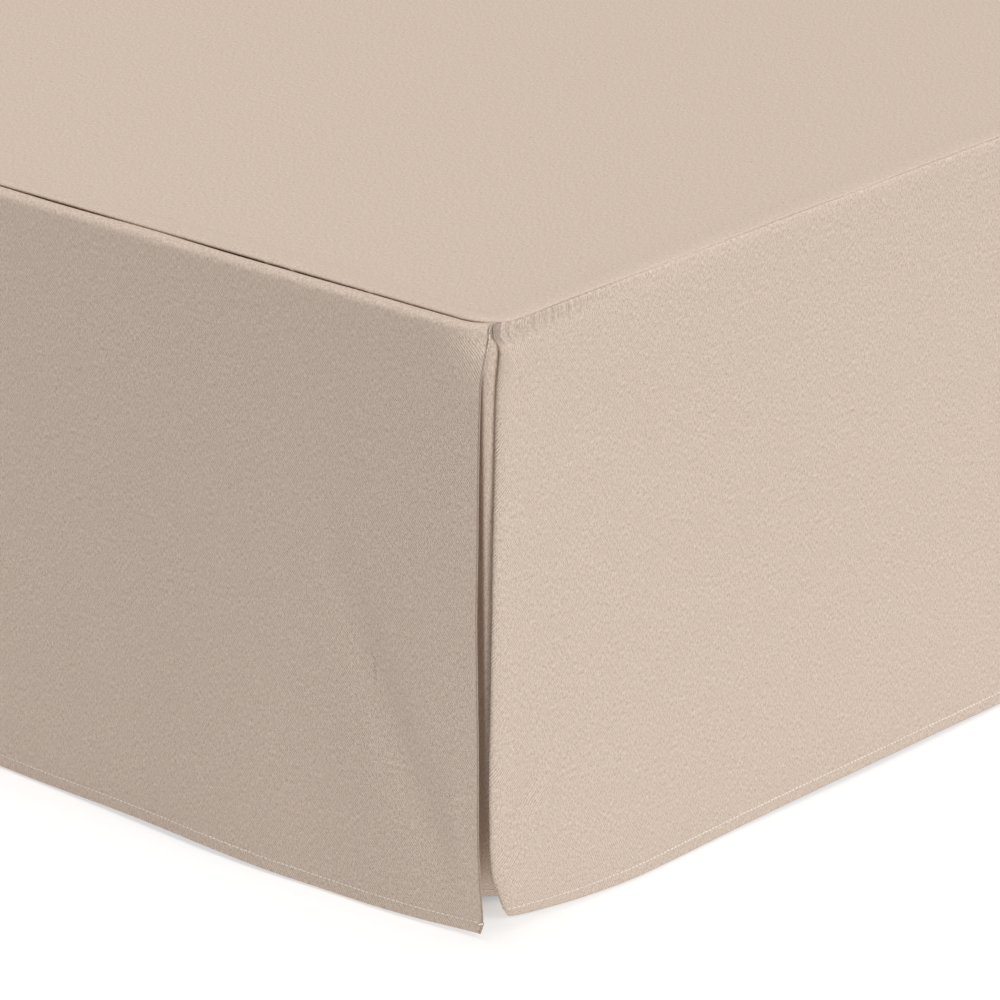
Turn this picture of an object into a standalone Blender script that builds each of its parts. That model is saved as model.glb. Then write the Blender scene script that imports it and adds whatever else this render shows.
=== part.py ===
"""Bed frame with a fitted cover: a plain wooden frame under a cotton cover that is sewn from a top panel,
four straight skirts and an underlay behind the inverted pleat at each corner.

Metres, +Z up. The origin is on the floor under the middle of the bed. The length runs along Y, the foot
end is at -Y, and the corner with the most worked-out pleat is the one at +X, -Y.
"""
import math
from collections import namedtuple

import bmesh
import bpy
from mathutils import Vector

MM = 0.001

# Driving dimensions
BED_WIDTH = 1.350
BED_LENGTH = 1.900
BED_HEIGHT = 0.350
CLOTH = 1.2 * MM
LAP = 0.3 * MM
SEAM_GAP = 0.7 * MM

# Top panel: how far its seam lies inside the bed's faces
SEAM_INSET_SIDE = 3.2 * MM
SEAM_INSET_END = 7.5 * MM
SEAM_RADIUS = 22 * MM
SEAM_DIP = 0.6 * MM
DIP_WIDTH = 8 * MM

# Skirts
TURN_RADIUS = 3.0 * MM
TURN_SHARE = 0.6
RETURN_DEPTH = 80 * MM
SKIRT_TOP = 343 * MM
HEM_HEIGHT = 2.0 * MM
FLARE = 4.0 * MM
BLEND_LENGTH = 300 * MM
SETTLE_LENGTH = 60 * MM
RETURN_ROW = 0.5 * MM
FADE_POWER = 1.2
WAVE_POWER = 1.3
HALFWAY = 1 - math.sin(math.pi / 4)

# Underlays
UNDERLAY_INSET = 7.2 * MM
UNDERLAY_HALF_WIDTH = 115 * MM
UNDERLAY_BEND_TOP = 14 * MM
UNDERLAY_BEND_HEM = 142 * MM
UNDERLAY_KICK = 5.5

# Wooden frame
DECK_INSET = 10 * MM
DECK_RADIUS = 26 * MM
DECK_THICKNESS = 55 * MM
DECK_EDGE = 6 * MM
LEG_SIDE = 60 * MM
LEG_INSET = 85 * MM
LEG_EDGE = 3 * MM

# The folded edge of a skirt at the open pleat, by height: how far along its face from the corner, how far
# in from that face, and how far along the cloth that drawing-in reaches. In millimetres. The wrapping fold
# is pressed sharp and sewn past the middle of the corner, and the softer, shorter fold meets it there.
Fold = namedtuple("Fold", "height along inward reach")
Pleat = namedtuple("Pleat", "corner_turn fold_radius folds")
WRAPPING = Pleat(math.radians(52), 0.9 * MM, [
    Fold(2, 16.6, 8.6, 55), Fold(25, 11.2, 6.6, 52), Fold(60, 10.3, 3.6, 45), Fold(120, 8.0, 1.2, 35),
    Fold(200, 7.6, 0.2, 25), Fold(300, 4.0, 0.2, 15), Fold(322, 4.3, 1.6, 10), Fold(334, 5.2, 4.6, 10),
    Fold(343, 6.4, 8.0, 10),
])
SHORT = Pleat(math.radians(38), 1.7 * MM, [
    Fold(2, 36.0, 16.5, 49), Fold(12, 32.5, 13.5, 47), Fold(25, 22.7, 11.0, 45), Fold(45, 16.2, 8.2, 42),
    Fold(85, 11.4, 5.0, 36), Fold(150, 11.0, 3.0, 28), Fold(230, 13.7, 2.5, 22), Fold(300, 15.8, 2.5, 16),
    Fold(322, 17.2, 2.0, 12), Fold(334, 16.6, 1.8, 9), Fold(343, 13.6, 2.6, 7),
])

# Long waves of a skirt: cycles along the face, height in millimetres at the hem, phase in turns
Wave = namedtuple("Wave", "cycles swing phase")
END_WAVES = [Wave(2.3, 1.5, 0.45), Wave(4.1, 1.3, 0.10), Wave(7.4, 0.7, 0.75)]
SIDE_WAVES = [Wave(2.6, 1.2, 0.20), Wave(5.3, 1.4, 0.62), Wave(9.1, 0.6, 0.35)]
HEM_WAVE = Wave(5.5, 0.9, 0.3)

# The top panel's rings, in millimetres: a dip at the seam, then a low ridge over the seam allowance
Ring = namedtuple("Ring", "inset rise")
TOP_RINGS = [Ring(0, -0.6), Ring(4, 0), Ring(11, 1.0), Ring(22, 0.2), Ring(32, 0), Ring(60, 0)]

# Heights of a skirt's rows of points, and the columns near each pleat, in millimetres
SKIRT_ROWS = [2, 12, 25, 45, 85, 150, 230, 300, 322, 334, 343]
RETURN_COLUMNS = [80, 42, 14]
FOLD_TURNS = [180, 120, 60, 0]
NEAR_COLUMNS = [5, 10, 16, 24, 38, 62, 105, 180]
MIDDLE_STEP = 120 * MM
UNDERLAY_ROWS = [3, 12, 25, 42, 65, 95, 140, 230, 343, 347.6]
UNDERLAY_COLUMNS = 12


def remove_old_objects():
    for thing in list(bpy.data.objects):
        bpy.data.objects.remove(thing, do_unlink=True)


def make_material(name, colour, roughness):
    material = bpy.data.materials.new(name)
    material.use_nodes = True
    shader = material.node_tree.nodes["Principled BSDF"]
    shader.inputs["Base Color"].default_value = (*colour, 1.0)
    shader.inputs["Roughness"].default_value = roughness
    shader.inputs["Metallic"].default_value = 0.0
    material.diffuse_color = (*colour, 1.0)
    return material


def smooth_step(value):
    value = min(1.0, max(0.0, value))
    return value * value * (3 - 2 * value)


def fold_at(table, height):
    """The fold's along, inward and reach at a height, in metres, in proportion between the table's rows."""
    level = min(table[-1].height, max(table[0].height, height / MM))
    for low, high in zip(table, table[1:]):
        if level <= high.height:
            break
    share = (level - low.height) / (high.height - low.height)
    return [(a + (b - a) * share) * MM for a, b in zip(low[1:], high[1:])]


def wave_at(waves, share):
    return sum(w.swing * MM * math.sin(math.tau * (w.cycles * share + w.phase)) for w in waves)


class Skirt:
    """One straight skirt, in its own frame: distance along the face from its first corner, distance in
    from the face, and height."""

    def __init__(self, length, seam_inset, next_inset, near_pleat, far_pleat, waves):
        self.length = length
        self.seam_centre = (next_inset + SEAM_RADIUS, seam_inset + SEAM_RADIUS)
        self.pleats = (near_pleat, far_pleat)
        self.waves = waves

    def fold_centre(self, end, height):
        pleat = self.pleats[end]
        return fold_at(pleat.folds, height)[0] + pleat.fold_radius + CLOTH / 2

    def seam_point(self, end, distance):
        """A point on the seam, a distance from where the two skirts meet, as (along, inward)."""
        turn = self.pleats[end].corner_turn
        beyond = max(0.0, distance - turn * SEAM_RADIUS)
        angle = max(0.0, turn - distance / SEAM_RADIUS)
        radius = SEAM_RADIUS + SEAM_GAP
        along = self.seam_centre[0] - radius * math.sin(angle) + beyond
        return along, self.seam_centre[1] - radius * math.cos(angle)

    def inward(self, along, height):
        """How far in from the face the cloth hangs: flared at the hem, drawn in at each pleat, and waved."""
        low = 1 - height / BED_HEIGHT
        total = -FLARE * low
        for end, pleat in enumerate(self.pleats):
            _, drawn, reach = fold_at(pleat.folds, height)
            away = along if end == 0 else self.length - along
            away = max(0.0, away - self.fold_centre(end, height))
            total += (drawn + FLARE * low) * math.exp(-((away / reach) ** FADE_POWER))
        nearest = min(along, self.length - along)
        calm = smooth_step((nearest - RETURN_DEPTH) / RETURN_DEPTH)
        return total + calm * low ** WAVE_POWER * wave_at(self.waves, along / self.length)

    def point(self, end, away, turn, height):
        """A point on the cloth's middle surface. turn is 0 on the front, 180 on the return behind it."""
        centre = self.fold_centre(end, height)
        turned = math.radians(turn)
        radius = self.pleats[end].fold_radius
        away_now = away + centre * max(0.0, 1 - away / BLEND_LENGTH) - radius * math.sin(turned)
        along = away_now if end == 0 else self.length - away_now
        depth = self.inward(along, height) + radius * (1 - math.cos(turned)) + CLOTH / 2
        return Vector((along, depth, height))

    def hem_lift(self, along):
        return HEM_WAVE.swing * MM * math.sin(math.tau * (HEM_WAVE.cycles * along / self.length + HEM_WAVE.phase))

    def top_points(self, end, away, turn):
        """The rows that turn over the bed's top edge and end at the seam. A return ends just below them."""
        below = self.point(end, away, turn, SKIRT_TOP)
        centre = self.fold_centre(end, SKIRT_TOP)
        along = below.x if end == 0 else self.length - below.x
        pleat = self.pleats[end]
        first = pleat.fold_radius + CLOTH / 2 + SEAM_GAP / 2
        settle = SEAM_RADIUS * pleat.corner_turn - self.seam_centre[0] + centre - first
        past = 0.0 if turn else max(0.0, along - centre)
        distance = past + first + settle * smooth_step(past / SETTLE_LENGTH)
        distance -= pleat.fold_radius * math.sin(math.radians(turn))
        seam_along, seam_in = self.seam_point(end, distance)
        level = BED_HEIGHT - CLOTH / 2
        seam = Vector((seam_along if end == 0 else self.length - seam_along, seam_in, level))
        flat = Vector((seam.x, seam.y, 0)) - Vector((below.x, below.y, 0))
        seam.z -= SEAM_DIP * min(1.0, flat.length / DIP_WIDTH)
        radius = min(TURN_RADIUS, TURN_SHARE * flat.length)
        step = flat.normalized() * radius
        rows = [
            below + Vector((0, 0, level - radius - SKIRT_TOP)),
            below + step * HALFWAY + Vector((0, 0, level - radius * HALFWAY - SKIRT_TOP)),
            below + step + Vector((0, 0, level - SKIRT_TOP)),
            seam,
        ]
        hidden = [below + Vector((0, 0, RETURN_ROW * (place + 1))) for place in range(len(rows))]
        share = (1 - math.cos(math.radians(turn))) / 2
        return [row.lerp(behind, share) for row, behind in zip(rows, hidden)]

    def columns(self):
        near = [(away * MM, 180) for away in RETURN_COLUMNS] + [(0.0, turn) for turn in FOLD_TURNS]
        near += [(away * MM, 0) for away in NEAR_COLUMNS]
        reach = NEAR_COLUMNS[-1] * MM
        middle = max(1, round((self.length - 2 * reach) / MIDDLE_STEP))
        between = [reach + (self.length - 2 * reach) * k / middle for k in range(1, middle)]
        half = self.length / 2
        inner = [(0, away, 0) if away <= half else (1, self.length - away, 0) for away in between]
        return [(0, *c) for c in near] + inner + [(1, *c) for c in reversed(near)]

    def grid(self):
        lines = []
        for end, away, turn in self.columns():
            line = [self.point(end, away, turn, height * MM) for height in SKIRT_ROWS]
            line[0].z = HEM_HEIGHT + self.hem_lift(line[0].x)
            lines.append(line + self.top_points(end, away, turn))
        return lines


def underlay_bend(height):
    low = max(0.0, 1 - height / SKIRT_TOP)
    return UNDERLAY_BEND_TOP + (UNDERLAY_BEND_HEM - UNDERLAY_BEND_TOP) * low ** UNDERLAY_KICK


def underlay_point(across, height):
    """across runs from minus to plus the half width, from the end face round to the side face."""
    bend = underlay_bend(height)
    half_arc = bend * math.pi / 4
    beyond = max(0.0, abs(across) - half_arc)
    angle = math.pi / 4 + max(-half_arc, min(half_arc, across)) / bend
    centre = UNDERLAY_INSET + bend
    from_side = centre - bend * math.sin(angle) + (beyond if across < 0 else 0)
    from_end = centre - bend * math.cos(angle) + (beyond if across > 0 else 0)
    return Vector((from_side, from_end, height))


def underlay_grid():
    lines = []
    for column in range(UNDERLAY_COLUMNS + 1):
        across = UNDERLAY_HALF_WIDTH * (2 * column / UNDERLAY_COLUMNS - 1)
        lines.append([underlay_point(across, height * MM) for height in UNDERLAY_ROWS])
    return lines


def rounded_outline(half_x, half_y, radius, steps=8):
    """Points of a rectangle with round corners, anticlockwise from above."""
    points = []
    for quarter, (sx, sy) in enumerate([(1, -1), (1, 1), (-1, 1), (-1, -1)]):
        for step in range(steps + 1):
            angle = math.pi / 2 * (quarter - 1 + step / steps)
            points.append((
                sx * (half_x - radius) + radius * math.cos(angle),
                sy * (half_y - radius) + radius * math.sin(angle),
            ))
    return points


def finish_object(name, mesh_data, material):
    thing = bpy.data.objects.new(name, mesh_data)
    bpy.context.scene.collection.objects.link(thing)
    mesh_data.materials.append(material)
    return thing


def sheet_object(name, lines, place, material, flip=False):
    """A thin sheet of cloth over a grid of points, thickened to both sides."""
    shape = bmesh.new()
    verts = [[shape.verts.new(place(p)) for p in line] for line in lines]
    for left, right in zip(verts, verts[1:]):
        for low in range(len(left) - 1):
            corners = (left[low], right[low], right[low + 1], left[low + 1])
            shape.faces.new(tuple(reversed(corners)) if flip else corners)
    return thicken(name, shape, material)


def thicken(name, shape, material):
    data = bpy.data.meshes.new(name)
    shape.to_mesh(data)
    shape.free()
    data.shade_smooth()
    thing = finish_object(name, data, material)
    solid = thing.modifiers.new("cloth thickness", "SOLIDIFY")
    solid.thickness = CLOTH
    solid.offset = 0.0
    solid.use_even_offset = True
    return thing


def make_top_panel(material):
    """The flat top, with a dip at the seam and a low ridge where the seam allowance lies beneath."""
    level = BED_HEIGHT - CLOTH / 2
    shape = bmesh.new()
    loops = []
    for ring in TOP_RINGS:
        inset, rise = ring.inset * MM, ring.rise * MM
        outline = rounded_outline(
            BED_WIDTH / 2 - SEAM_INSET_SIDE - inset, BED_LENGTH / 2 - SEAM_INSET_END - inset,
            max(SEAM_RADIUS - inset, SEAM_RADIUS / 3),
        )
        loops.append([shape.verts.new((x, y, level + rise)) for x, y in outline])
    for outer, inner in zip(loops, loops[1:]):
        count = len(outer)
        for k in range(count):
            shape.faces.new((outer[k], outer[(k + 1) % count], inner[(k + 1) % count], inner[k]))
    shape.faces.new(loops[-1])
    return thicken("top_panel", shape, material)


def make_skirts(material):
    """Two shapes, each used on opposite sides of the bed, turned half round."""
    half_x, half_y = BED_WIDTH / 2, BED_LENGTH / 2
    end_skirt = Skirt(BED_WIDTH, SEAM_INSET_END, SEAM_INSET_SIDE, WRAPPING, SHORT, END_WAVES)
    side_skirt = Skirt(BED_LENGTH, SEAM_INSET_SIDE, SEAM_INSET_END, SHORT, WRAPPING, SIDE_WAVES)
    end_lines, side_lines = end_skirt.grid(), side_skirt.grid()
    for name, lines, turn, along_x in (
        ("skirt_foot", end_lines, 1, True),
        ("skirt_head", end_lines, -1, True),
        ("skirt_right", side_lines, 1, False),
        ("skirt_left", side_lines, -1, False),
    ):
        def place(p, turn=turn, along_x=along_x):
            if along_x:
                return Vector((turn * (half_x - p.x), turn * (p.y - half_y), p.z))
            return Vector((turn * (half_x - p.y), turn * (p.x - half_y), p.z))
        sheet_object(name, lines, place, material, flip=along_x)


def make_underlays(material):
    lines = underlay_grid()
    half_x, half_y = BED_WIDTH / 2, BED_LENGTH / 2
    for name, sx, sy in (
        ("underlay_foot_right", 1, -1),
        ("underlay_head_right", 1, 1),
        ("underlay_head_left", -1, 1),
        ("underlay_foot_left", -1, -1),
    ):
        def place(p, sx=sx, sy=sy):
            return Vector((sx * (half_x - p.x), sy * (half_y - p.y), p.z))
        sheet_object(name, lines, place, material, flip=sx * sy > 0)


def block_from_outline(name, outline, bottom, top, edge, material):
    shape = bmesh.new()
    base = shape.faces.new([shape.verts.new((x, y, bottom)) for x, y in reversed(outline)])
    raised = bmesh.ops.extrude_face_region(shape, geom=[base])
    moved = [item for item in raised["geom"] if isinstance(item, bmesh.types.BMVert)]
    bmesh.ops.translate(shape, verts=moved, vec=(0, 0, top - bottom))
    bmesh.ops.recalc_face_normals(shape, faces=shape.faces)
    data = bpy.data.meshes.new(name)
    shape.to_mesh(data)
    shape.free()
    thing = finish_object(name, data, material)
    bevel = thing.modifiers.new("eased edges", "BEVEL")
    bevel.width = edge
    bevel.segments = 2
    bevel.limit_method = "ANGLE"
    bevel.angle_limit = math.radians(40)
    return thing


def make_frame(deck_material, leg_material):
    deck_top = BED_HEIGHT - CLOTH - LAP
    deck_bottom = deck_top - DECK_THICKNESS
    outline = rounded_outline(BED_WIDTH / 2 - DECK_INSET, BED_LENGTH / 2 - DECK_INSET, DECK_RADIUS)
    block_from_outline("deck", outline, deck_bottom, deck_top, DECK_EDGE, deck_material)
    half = LEG_SIDE / 2
    square = [(half, -half), (half, half), (-half, half), (-half, -half)]
    leg_x, leg_y = BED_WIDTH / 2 - LEG_INSET, BED_LENGTH / 2 - LEG_INSET
    for row, y in (("foot", -leg_y), ("middle", 0.0), ("head", leg_y)):
        for side, x in (("left", -leg_x), ("right", leg_x)):
            leg = block_from_outline(f"leg_{row}_{side}", square, 0.0, deck_bottom - LAP, LEG_EDGE, leg_material)
            leg.location = (x, y, 0)


def main():
    remove_old_objects()
    cover = make_material("cover_cloth", (0.62, 0.50, 0.40), 0.9)
    inner = make_material("underlay_cloth", (0.58, 0.46, 0.37), 0.9)
    deck_wood = make_material("deck_wood", (0.60, 0.44, 0.27), 0.6)
    leg_wood = make_material("leg_wood", (0.52, 0.36, 0.21), 0.55)
    make_top_panel(cover)
    make_skirts(cover)
    make_underlays(inner)
    make_frame(deck_wood, leg_wood)
    bpy.context.view_layer.update()


main()
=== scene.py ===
"""Looks of the bed frame with a fitted cover: sewn cotton twill cover, underlays behind the corner pleats,
hem and tack stitches, pine frame, white floor and soft light. Metres, in the frame of the CAD part.
"""
import math
import random
from collections import namedtuple

import bpy
from mathutils import Matrix, Vector, noise


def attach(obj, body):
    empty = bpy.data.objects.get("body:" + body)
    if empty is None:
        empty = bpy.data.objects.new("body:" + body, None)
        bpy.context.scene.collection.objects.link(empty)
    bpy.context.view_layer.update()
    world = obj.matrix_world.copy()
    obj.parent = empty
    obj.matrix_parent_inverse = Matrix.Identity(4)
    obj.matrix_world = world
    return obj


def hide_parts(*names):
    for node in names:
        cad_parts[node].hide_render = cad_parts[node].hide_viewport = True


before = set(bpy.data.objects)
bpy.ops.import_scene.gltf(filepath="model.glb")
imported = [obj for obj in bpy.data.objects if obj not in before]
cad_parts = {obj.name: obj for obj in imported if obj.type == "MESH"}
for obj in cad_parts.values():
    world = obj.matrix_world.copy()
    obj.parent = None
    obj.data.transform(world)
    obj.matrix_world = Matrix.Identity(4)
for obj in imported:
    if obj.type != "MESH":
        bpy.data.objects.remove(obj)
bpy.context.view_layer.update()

scene = bpy.context.scene
MM = 0.001

# Camera: a long lens, looking down at the corner between the foot end and the right side.
# The corner stands almost upright in the middle of the picture and both faces run out of it.
PITCH = math.radians(21.07)
YAW = math.radians(41.764)
ROLL = math.radians(-0.35)
DISTANCE = 3.0523
RIGHTWARD = 0.0080
UPWARD = 0.2411
CORNER = Vector((0.675, -0.95, 0))
SENSOR_WIDTH = 36
FOCAL_LENGTH = 205.2
CLIP_START = 0.05

right = Vector((math.cos(YAW), math.sin(YAW), 0))
level_ahead = Vector((-math.sin(YAW), math.cos(YAW), 0))
ahead = level_ahead * math.cos(PITCH) - Vector((0, 0, 1)) * math.sin(PITCH)
up = right.cross(ahead)
camera = bpy.data.objects.new("camera", bpy.data.cameras.new("camera"))
scene.collection.objects.link(camera)
camera.data.sensor_width = SENSOR_WIDTH
camera.data.lens = FOCAL_LENGTH
camera.data.clip_start = CLIP_START
turned = Matrix((right, up, -ahead)).transposed().to_4x4()
place = Matrix.Translation(CORNER - ahead * DISTANCE + right * RIGHTWARD + up * UPWARD)
camera.matrix_world = place @ turned @ Matrix.Rotation(ROLL, 4, "Z")
scene.camera = camera
scene.view_settings.view_transform = "Standard"

# Light: a dim warm room, a wide soft window high up on the right-hand side and a soft light above.
# The top and the right face get the same light, and the left face only a grazing share of it.
ROOM_LIGHT = 0.14
ROOM_COLOUR = (1.0, 0.87, 0.76, 1)
WINDOW_LIGHT = 1.45
WINDOW_WIDTH = 0.5
WINDOW_FROM = Vector((0.76, -0.12, 0.60))
CEILING_LIGHT = 1.67
CEILING_WIDTH = 0.55
CEILING_FROM = Vector((0.0, 0.0, 1.0))

world = bpy.data.worlds.new("room")
world.use_nodes = True
world.node_tree.nodes["Background"].inputs["Color"].default_value = ROOM_COLOUR
world.node_tree.nodes["Background"].inputs["Strength"].default_value = ROOM_LIGHT
scene.world = world
for name, energy, width, source in (
    ("window", WINDOW_LIGHT, WINDOW_WIDTH, WINDOW_FROM),
    ("ceiling", CEILING_LIGHT, CEILING_WIDTH, CEILING_FROM),
):
    light = bpy.data.objects.new(name, bpy.data.lights.new(name, "SUN"))
    light.data.energy = energy
    light.data.angle = width
    light.rotation_euler = source.to_track_quat("Z", "Y").to_euler()
    scene.collection.objects.link(light)

# Floor: smooth white studio floor, so bright that only the contact shadow shows on it.
# Its glow is painted light standing in for a floor lit from all sides; the glow fades out under the bed,
# which paints shade there on top of the real shadow.
FLOOR_HALF = 9.0
FLOOR_DROP = 0.3 * MM
FLOOR_WHITE = (0.45, 0.45, 0.45, 1)
FLOOR_GLOW = 0.61
FLOOR_FADE = (-90 * MM, -15 * MM)
FLOOR_ROUGHNESS = 0.6
BLACK = (0, 0, 0, 1)
WHITE = (1, 1, 1, 1)


class Sock:
    """One output socket of a material's nodes. Sums on it add Math nodes."""

    def __init__(self, tree, socket):
        self.tree = tree
        self.socket = socket

    def math(self, operation, *others):
        inputs = dict(enumerate((self, *others)))
        return add_node(self.tree, "ShaderNodeMath", {"operation": operation}, inputs)

    def __add__(self, other):
        return self.math("ADD", other)

    def __sub__(self, other):
        return self.math("SUBTRACT", other)

    def __mul__(self, other):
        return self.math("MULTIPLY", other)

    def __radd__(self, other):
        return self.math("ADD", other)

    def __rmul__(self, other):
        return self.math("MULTIPLY", other)

    def __rsub__(self, other):
        return (self * -1.0).math("ADD", other)

    def ramp(self, low, high):
        """0 below low, 1 above high and smooth between them."""
        settings = {"interpolation_type": "SMOOTHSTEP"}
        inputs = {"Value": self, "From Min": low, "From Max": high}
        return add_node(self.tree, "ShaderNodeMapRange", settings, inputs, output="Result")


def fill(tree, target, value):
    if isinstance(value, Sock):
        tree.links.new(value.socket, target)
    else:
        target.default_value = value


def add_node(tree, kind, settings, inputs, output=0):
    """Any node: its type, its settings, the values or links of its sockets, and the output wanted."""
    made = tree.nodes.new(kind)
    for name, value in settings.items():
        setattr(made, name, value)
    for name, value in inputs.items():
        fill(tree, made.inputs[name], value)
    return Sock(tree, made.outputs[output])


class Paint:
    """A material and its nodes."""

    def __init__(self, name, colour, roughness):
        self.material = bpy.data.materials.new(name)
        self.material.use_nodes = True
        self.tree = self.material.node_tree
        self.shader = self.tree.nodes["Principled BSDF"]
        self.set("Base Color", colour)
        self.set("Roughness", roughness)

    def set(self, name, value):
        fill(self.tree, self.shader.inputs[name], value)

    def node(self, kind, settings, inputs, output=0):
        return add_node(self.tree, kind, settings, inputs, output)

    def part(self, place, axis):
        """One of a place's three figures."""
        return self.node("ShaderNodeSeparateXYZ", {}, {"Vector": place}, output=axis)

    def noise(self, place, scale, detail=2.0):
        return self.node("ShaderNodeTexNoise", {}, {"Vector": place, "Scale": scale, "Detail": detail})

    def stretched_noise(self, place, stretch, detail=2.0):
        """Noise with so many cells a metre along, up and, for a solid, in depth."""
        x, y, z = (*stretch, 1.0)[:3]
        stretched = self.node("ShaderNodeVectorMath", {"operation": "MULTIPLY"}, {0: place, 1: (x, y, z)})
        return self.noise(stretched, 1.0, detail)

    def mix(self, share, low, high):
        """A colour between two others. Factor, A and B are sockets 0, 6 and 7 of a colour Mix node."""
        settings = {"data_type": "RGBA"}
        return self.node("ShaderNodeMix", settings, {0: share, 6: low, 7: high}, output=2)

    def bump(self, height, distance, strength):
        inputs = {"Height": height, "Distance": distance, "Strength": strength}
        self.set("Normal", self.node("ShaderNodeBump", {}, inputs))


def mesh_object(name, verts, faces, material):
    data = bpy.data.meshes.new(name)
    data.from_pydata(verts, [], faces)
    data.validate()
    data.shade_smooth()
    data.materials.append(material)
    thing = bpy.data.objects.new(name, data)
    scene.collection.objects.link(thing)
    return thing


floor_paint = Paint("white floor", FLOOR_WHITE, FLOOR_ROUGHNESS)
floor_place = floor_paint.node("ShaderNodeTexCoord", {}, {}, output="Object")
past_side, past_end = (
    floor_paint.part(floor_place, axis).math("ABSOLUTE") - half
    for axis, half in (("X", CORNER.x), ("Y", -CORNER.y))
)
# Painted shade: the floor's glow fades out inside the bed's outline.
outside = past_side.math("MAXIMUM", past_end).ramp(*FLOOR_FADE)
floor_paint.set("Emission Color", floor_paint.mix(outside, BLACK, WHITE))
floor_paint.set("Emission Strength", FLOOR_GLOW)
floor_corners = [
    (x * FLOOR_HALF, y * FLOOR_HALF, -FLOOR_DROP)
    for x, y in ((-1, -1), (1, -1), (1, 1), (-1, 1))
]
floor = mesh_object("floor", floor_corners, [(0, 1, 2, 3)], floor_paint.material)


# Cloth: sand-beige cotton twill in one weight for every panel of the cover.
# Fine diagonal ribs, uneven yarn with light and dark slubs, and a few brown specks of seed husk.
CLOTH = 0.5 * MM
CLOTH_DARK = (0.530, 0.420, 0.342, 1)
CLOTH_LIGHT = (0.800, 0.671, 0.571, 1)
SPECK_BROWN = (0.30, 0.20, 0.13, 1)
# Painted shade: a narrow band along the pressed wrapping fold of the foot and head skirts is darkened
# towards this brown, so the fold's edge shows no highlight.
FOLD_SHADE_BROWN = (0.27, 0.205, 0.16, 1)
FOLD_SHADE_AT = 78.5 * MM
CLOTH_ROUGHNESS = 0.92
RIB_ACROSS = 1.7 * MM
RIB_SLANT = -0.8
RIBS_TO = 345 * MM
GATHER_PITCH = 1.9 * MM
GATHER_TOP = 352 * MM
GATHER_FOOT = 341 * MM
GATHER_END = 230 * MM
# How the weave varies: noise cells a metre, and along and up the cloth where two are given. Ranges are
# the parts of the noise that show.
RIB_WANDER_CELLS = 90.0
PATCH_CELLS = 55.0
YARN_CELLS = (1500, 420)
CROSSING_CELLS = (420, 1400)
SLUB_CELLS = (900, 150)
SPECK_CELLS = (520, 330)
GATHER_CELLS = (330, 20)
PATCH_RANGE = (0.38, 0.66)
SLUB_RANGE = (0.72, 0.85)
SPECK_RANGE = (0.81, 0.86)
FOLD_SHADE_RANGE = (0.9 * MM, 0.4 * MM)
RIB_FADE = 4 * MM
RIBS_LOST = 0.85
GATHERS_LOST = 0.8
# How much each of them does: shares of the way from dark to light, and of the relief's height.
MIDDLE_TONE = 0.55
RIB_WANDER = 6.0
RIB_TONE = 0.08
PATCHY_RIB_TONE = 0.45
YARN_TONE = 2.1
CROSSING_TONE = 1.0
SLUB_TONE = 0.45
SPECK_SHARE = 0.4
FOLD_SHADE_SHARE = 0.6
RIB_RELIEF = 0.35
YARN_RELIEF = 1.3
CROSSING_RELIEF = 0.8
GATHER_WANDER = 9.0
GATHER_RELIEF = 2.2
RELIEF_HEIGHT = 0.27 * MM
RELIEF_STRENGTH = 0.9


def cloth_paint(name, gathered=False, shaded_fold=False, shade=1.0, ribs=1.0, grain=1.0):
    """Places are UV coordinates in metres, u along the panel and v up it. ribs and grain scale the weave."""
    dark, light = ([c * shade for c in tone[:3]] + [1] for tone in (CLOTH_DARK, CLOTH_LIGHT))
    paint = Paint(name, light, CLOTH_ROUGHNESS)
    place = paint.node("ShaderNodeTexCoord", {}, {}, output="UV")
    along, height = paint.part(place, "X"), paint.part(place, "Y")
    wander = paint.noise(place, RIB_WANDER_CELLS)
    turns = (along + height * RIB_SLANT) * (math.tau / RIB_ACROSS) + wander * RIB_WANDER
    rib = turns.math("SINE") * (1 - height.ramp(RIBS_TO - RIB_FADE, RIBS_TO) * RIBS_LOST)
    patchy = paint.noise(place, PATCH_CELLS).ramp(*PATCH_RANGE)
    yarn = paint.stretched_noise(place, YARN_CELLS, detail=1.0)
    crossing = paint.stretched_noise(place, CROSSING_CELLS, detail=1.0)
    slub = paint.stretched_noise(place, SLUB_CELLS, detail=0.0).ramp(*SLUB_RANGE)
    tone = MIDDLE_TONE + rib * ((RIB_TONE + patchy * PATCHY_RIB_TONE) * ribs)
    tone = tone + (yarn - 0.5) * (YARN_TONE * grain)
    tone = tone + (crossing - 0.5) * (CROSSING_TONE * grain) + slub * (SLUB_TONE * grain)
    colour = paint.mix(tone, dark, light)
    speck = paint.stretched_noise(place, SPECK_CELLS, detail=0.0).ramp(*SPECK_RANGE)
    colour = paint.mix(speck * SPECK_SHARE, colour, SPECK_BROWN)
    # Painted shade: the cloth is darkened in a narrow band along the pressed fold, in place of shade on its
    # edge.
    if shaded_fold:
        pressed = (along - FOLD_SHADE_AT).math("ABSOLUTE").ramp(*FOLD_SHADE_RANGE) * FOLD_SHADE_SHARE
        colour = paint.mix(pressed, colour, FOLD_SHADE_BROWN)
    paint.set("Base Color", colour)
    relief = rib * (RIB_RELIEF * ribs) + (yarn - 0.5) * (YARN_RELIEF * grain)
    relief = relief + (crossing - 0.5) * (CROSSING_RELIEF * grain)
    if gathered:
        uneven = paint.stretched_noise(place, GATHER_CELLS, detail=1.0)
        near_seam = height.ramp(GATHER_FOOT, GATHER_TOP)
        near_seam = near_seam * (1 - along.ramp(GATHER_END / 2, GATHER_END) * GATHERS_LOST)
        pleats = ((along * (math.tau / GATHER_PITCH)) + uneven * GATHER_WANDER).math("SINE")
        relief = relief + pleats * near_seam * uneven * GATHER_RELIEF
    paint.bump(relief, RELIEF_HEIGHT, RELIEF_STRENGTH)
    return paint.material


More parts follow.
